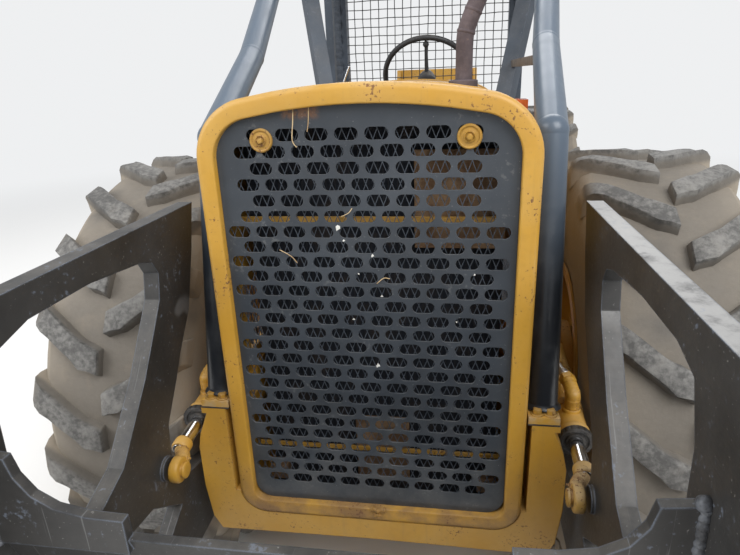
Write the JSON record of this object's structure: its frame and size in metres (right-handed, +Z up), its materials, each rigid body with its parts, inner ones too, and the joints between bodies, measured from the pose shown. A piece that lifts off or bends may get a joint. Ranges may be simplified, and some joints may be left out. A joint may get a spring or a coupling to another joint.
{
  "type": "cable skidder",
  "caption": "Articulated cable skidder with front blade, slotted grille, limb risers, open mesh cab, winch and rear arch",
  "frame": {"origin": "bottom centre of the bounding box, on the ground", "axes": "+X to the machine's left, +Y to its rear, +Z up; the blade and grille face -Y"},
  "size_m": [2, 5.06, 2.4784],
  "materials": {
    "yellow_paint": "sun-faded machine yellow, chipped, dusty and rusty at edges",
    "black_blade_paint": "rough brushed black paint, worn blue-grey along the edges",
    "black_sheet": "satin black sheet with dust and rust spots",
    "dark_cab_paint": "dark blue-grey paint, satin",
    "black_box_paint": "black paint, dusty",
    "dark_core": "dusty dark radiator fins",
    "rusty_exhaust": "heat-browned rusty steel",
    "chrome_rod": "bright chrome rod with a worn, partly rusty eye",
    "worn_steel": "bare steel polished by wire rope",
    "orange_lens": "orange lamp lens",
    "black_plastic": "black vinyl and hard rubber",
    "tyre": "dusty ribbed rubber, dark grey on the bars"
  },
  "bodies": {
    "front": {"front_frame": "yellow_paint", "front_axle": "yellow_paint", "radiator": "dark_core", "engine": "yellow_paint", "grille_frame": "yellow_paint", "grille_panel": "black_sheet", "hood": "yellow_paint", "side_screens": "yellow_paint", "exhaust": "rusty_exhaust", "marker_light": "orange_lens", "limb_risers": "dark_cab_paint", "cab_frame": "dark_cab_paint", "platform": "yellow_paint", "rear_screen": "black_sheet", "cab_mesh": "black_sheet", "seat": "black_plastic", "steering_wheel": "black_plastic", "fuel_tank": "yellow_paint", "battery_box": "black_box_paint"},
    "rear": {"rear_frame": "yellow_paint", "rear_axle": "yellow_paint", "winch_case": "yellow_paint"},
    "blade_assembly": {"blade": "black_blade_paint", "blade_arms": "black_blade_paint"},
    "lift_barrel_left": {"lift_barrel_left": "yellow_paint"},
    "lift_barrel_right": {"lift_barrel_right": "yellow_paint"},
    "lift_rod_left": {"lift_rod_left": "chrome_rod"},
    "lift_rod_right": {"lift_rod_right": "chrome_rod"},
    "steering_barrel_left": {"steering_barrel_left": "yellow_paint"},
    "steering_barrel_right": {"steering_barrel_right": "yellow_paint"},
    "steering_rod_left": {"steering_rod_left": "chrome_rod"},
    "steering_rod_right": {"steering_rod_right": "chrome_rod"},
    "winch_drum": {"winch_drum": "worn_steel"},
    "roller_low": {"fairlead_roller_low": "worn_steel"},
    "roller_left": {"fairlead_roller_left": "worn_steel"},
    "roller_right": {"fairlead_roller_right": "worn_steel"},
    "wheel_front_left": {"tyre_front_left": "tyre", "rim_front_left": "yellow_paint"},
    "wheel_front_right": {"tyre_front_right": "tyre", "rim_front_right": "yellow_paint"},
    "wheel_rear_left": {"tyre_rear_left": "tyre", "rim_rear_left": "yellow_paint"},
    "wheel_rear_right": {"tyre_rear_right": "tyre", "rim_rear_right": "yellow_paint"}
  },
  "joints": [
    {"name": "articulation", "type": "hinge", "parent": "front", "child": "rear", "pos_m": [0, 0.33, 0.8], "axis": [0, 0, 1], "range_deg": [-42, 42]},
    {"name": "blade_lift", "type": "hinge", "parent": "front", "child": "blade_assembly", "pos_m": [0, -1.35, 0.6], "axis": [-1, 0, 0], "range_deg": [-21, 3]},
    {"name": "lift_barrel_left_pivot", "type": "hinge", "parent": "front", "child": "lift_barrel_left", "pos_m": [0.489, -1.21, 0.893], "axis": [-1, 0, 0], "range_deg": [-15.4, 2.4]},
    {"name": "lift_rod_left_slide", "type": "slide", "parent": "lift_barrel_left", "child": "lift_rod_left", "axis": [0, -0.9958, -0.092], "range_m": [-0.014, 0.096]},
    {"name": "steering_barrel_left_pivot", "type": "hinge", "parent": "front", "child": "steering_barrel_left", "pos_m": [0.24, -0.33, 0.8], "axis": [0, 0, 1], "range_deg": [-1.2, 1.2]},
    {"name": "steering_rod_left_slide", "type": "slide", "parent": "steering_barrel_left", "child": "steering_rod_left", "axis": [-0.0303, 0.9995, 0], "range_m": [-0.153, 0.153]},
    {"name": "lift_barrel_right_pivot", "type": "hinge", "parent": "front", "child": "lift_barrel_right", "pos_m": [-0.489, -1.21, 0.893], "axis": [-1, 0, 0], "range_deg": [-15.4, 2.4]},
    {"name": "lift_rod_right_slide", "type": "slide", "parent": "lift_barrel_right", "child": "lift_rod_right", "axis": [0, -0.9958, -0.092], "range_m": [-0.014, 0.096]},
    {"name": "steering_barrel_right_pivot", "type": "hinge", "parent": "front", "child": "steering_barrel_right", "pos_m": [-0.24, -0.33, 0.8], "axis": [0, 0, 1], "range_deg": [-1.2, 1.2]},
    {"name": "steering_rod_right_slide", "type": "slide", "parent": "steering_barrel_right", "child": "steering_rod_right", "axis": [0.0303, 0.9995, 0], "range_m": [-0.153, 0.153]},
    {"name": "wheel_front_left_spin", "type": "hinge", "parent": "front", "child": "wheel_front_left", "pos_m": [0.765, -1, 0.73], "axis": [1, 0, 0], "continuous": true},
    {"name": "wheel_front_right_spin", "type": "hinge", "parent": "front", "child": "wheel_front_right", "pos_m": [-0.765, -1, 0.73], "axis": [1, 0, 0], "continuous": true},
    {"name": "wheel_rear_left_spin", "type": "hinge", "parent": "rear", "child": "wheel_rear_left", "pos_m": [0.765, 1.54, 0.73], "axis": [1, 0, 0], "continuous": true},
    {"name": "wheel_rear_right_spin", "type": "hinge", "parent": "rear", "child": "wheel_rear_right", "pos_m": [-0.765, 1.54, 0.73], "axis": [1, 0, 0], "continuous": true},
    {"name": "winch_drum_spin", "type": "hinge", "parent": "rear", "child": "winch_drum", "pos_m": [0, 1.36, 1.19], "axis": [1, 0, 0], "continuous": true},
    {"name": "roller_low_spin", "type": "hinge", "parent": "rear", "child": "roller_low", "pos_m": [0, 2.25, 1.33], "axis": [1, 0, 0], "continuous": true},
    {"name": "roller_left_spin", "type": "hinge", "parent": "rear", "child": "roller_left", "pos_m": [0.16, 2.25, 1.52], "axis": [0, 0, 1], "continuous": true},
    {"name": "roller_right_spin", "type": "hinge", "parent": "rear", "child": "roller_right", "pos_m": [-0.16, 2.25, 1.52], "axis": [0, 0, 1], "continuous": true}
  ],
  "couplings": [
    {"joint": "lift_barrel_left_pivot", "follows": "blade_lift", "ratio": 0.724},
    {"joint": "lift_rod_left_slide", "follows": "blade_lift", "m_per_rad": -0.2599},
    {"joint": "steering_barrel_left_pivot", "follows": "articulation", "ratio": -0.02757},
    {"joint": "steering_rod_left_slide", "follows": "articulation", "m_per_rad": 0.2068},
    {"joint": "lift_barrel_right_pivot", "follows": "blade_lift", "ratio": 0.724},
    {"joint": "lift_rod_right_slide", "follows": "blade_lift", "m_per_rad": -0.2599},
    {"joint": "steering_barrel_right_pivot", "follows": "articulation", "ratio": -0.02757},
    {"joint": "steering_rod_right_slide", "follows": "articulation", "m_per_rad": -0.2068}
  ]
}
